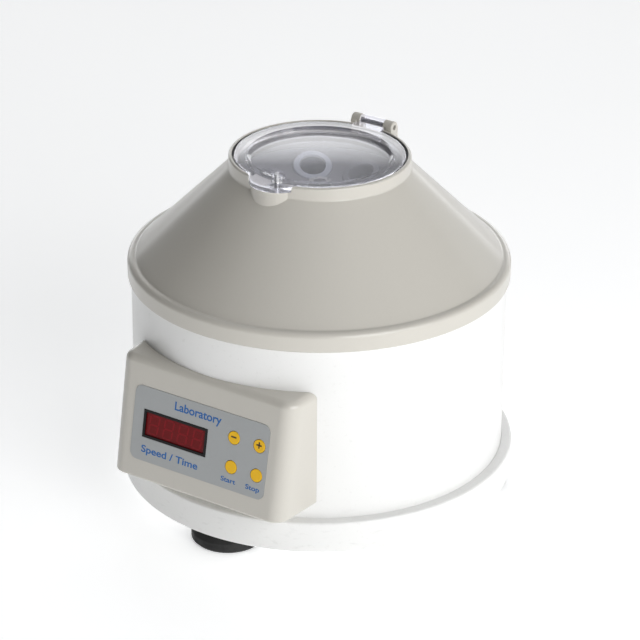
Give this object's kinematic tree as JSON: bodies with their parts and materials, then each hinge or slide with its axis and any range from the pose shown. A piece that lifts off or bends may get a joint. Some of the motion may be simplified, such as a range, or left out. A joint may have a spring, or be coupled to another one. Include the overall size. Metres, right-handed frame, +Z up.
{
  "type": "laboratory centrifuge",
  "caption": "Round bench centrifuge: cone cover with hinged clear lid and turn latch, angled tube rotor, front control panel with keys and display.",
  "frame": {"origin": "on the rotor's spin axis, at the level of the surface that the feet stand on", "axes": "+Z up along the spin axis, -Y towards the control panel, +X to the right of a person who faces the panel"},
  "size_m": [0.2534, 0.2747, 0.2361],
  "materials": {
    "body_paint": "satin powder coat",
    "foot_rubber": "matt moulded rubber",
    "screw_steel": "zinc plated",
    "bowl_steel": "spun, fine circular brushing",
    "seal_rubber": "matt",
    "cover_plastic": "semi-gloss moulding",
    "pin_steel": "ground",
    "panel_film": "printed polyester film",
    "bezel_black": "gloss",
    "display_filter": "tinted filter",
    "digit_module": "matt",
    "circuit_board": "solder resist",
    "switch_black": "moulded",
    "motor_paint": "satin",
    "cast_aluminium": "cast and turned",
    "magnet": "sintered",
    "bearing_steel": "ground and polished",
    "carbon": "sintered carbon",
    "transformer_core": "laminated and varnished",
    "contact_brass": "plated",
    "rocker_red": "gloss",
    "armature_iron": "laminated",
    "copper": "turned copper",
    "rotor_grey": "matt anodised",
    "lid_clear": "polished clear acrylic",
    "latch_clear": "polished clear acrylic",
    "sleeve_plastic": "translucent moulded",
    "sleeve_grey": "moulded",
    "key_yellow": "smooth"
  },
  "bodies": {
    "root": {"base_pan": "body_paint", "body_shell": "body_paint", "foot_front": "foot_rubber", "foot_rear_left": "foot_rubber", "foot_rear_right": "foot_rubber", "foot_screws": "screw_steel", "guard_bowl": "bowl_steel", "bowl_boot": "seal_rubber", "cone_cover": "cover_plastic", "cover_screws": "screw_steel", "lid_seal": "seal_rubber", "latch_keeper": "screw_steel", "hinge_pin": "pin_steel", "control_box": "cover_plastic", "membrane_panel": "panel_film", "display_bezel": "bezel_black", "display_window": "display_filter", "digit_module": "digit_module", "control_board": "circuit_board", "key_switches": "switch_black", "motor_can": "motor_paint", "motor_end_caps": "cast_aluminium", "field_magnets": "magnet", "bearing_outer_rings": "bearing_steel", "brush_holders": "switch_black", "carbon_brushes": "carbon", "motor_plate": "screw_steel", "dampers": "foot_rubber", "damper_bolts": "screw_steel", "power_board": "circuit_board", "transformer": "transformer_core", "rear_housing": "cover_plastic", "inlet_socket": "switch_black", "inlet_pins": "contact_brass", "switch_body": "switch_black", "fuse_holder": "switch_black"},
    "rotor": {"motor_shaft": "pin_steel", "armature_core": "armature_iron", "commutator": "copper", "bearing_inner_rings": "bearing_steel", "bearing_balls": "bearing_steel", "rotor_hub": "cast_aluminium", "rotor_shell": "rotor_grey", "rotor_dish": "rotor_grey", "rotor_nut": "screw_steel", "tube_sleeve_1": "sleeve_plastic", "tube_sleeve_2": "sleeve_grey", "tube_sleeve_3": "sleeve_grey", "tube_sleeve_4": "sleeve_grey", "tube_sleeve_5": "sleeve_grey", "tube_sleeve_6": "sleeve_grey"},
    "lid": {"lid_panel": "lid_clear"},
    "latch": {"latch_knob": "latch_clear", "latch_cam": "screw_steel"},
    "rocker": {"power_rocker": "rocker_red"},
    "speed_down_button": {"key_speed_down": "key_yellow"},
    "speed_up_button": {"key_speed_up": "key_yellow"},
    "start_button": {"key_start": "key_yellow"},
    "stop_button": {"key_stop": "key_yellow"}
  },
  "joints": [
    {"name": "rotor_spin", "type": "hinge", "parent": "root", "child": "rotor", "pos_m": [0, 0, 0.15], "axis": [0, 0, 1], "continuous": true},
    {"name": "lid_hinge", "type": "hinge", "parent": "root", "child": "lid", "pos_m": [0, 0.062, 0.2295], "axis": [-1, 0, 0], "range_deg": [0, 105]},
    {"name": "latch_turn", "type": "hinge", "parent": "lid", "child": "latch", "pos_m": [0.0045, -0.0535, 0.2291], "axis": [0, 0, 1], "range_deg": [0, 90]},
    {"name": "rocker_tilt", "type": "hinge", "parent": "root", "child": "rocker", "pos_m": [0.009, 0.1304, 0.066], "axis": [1, 0, 0], "range_deg": [0, 18]},
    {"name": "speed_down_press", "type": "slide", "parent": "root", "child": "speed_down_button", "axis": [0, 0.9834, -0.1817], "range_m": [0, 0.0004], "stiffness_N_per_m": 400},
    {"name": "speed_up_press", "type": "slide", "parent": "root", "child": "speed_up_button", "axis": [0, 0.9834, -0.1817], "range_m": [0, 0.0004], "stiffness_N_per_m": 400},
    {"name": "start_press", "type": "slide", "parent": "root", "child": "start_button", "axis": [0, 0.9834, -0.1817], "range_m": [0, 0.0004], "stiffness_N_per_m": 400},
    {"name": "stop_press", "type": "slide", "parent": "root", "child": "stop_button", "axis": [0, 0.9834, -0.1817], "range_m": [0, 0.0004], "stiffness_N_per_m": 400}
  ]
}
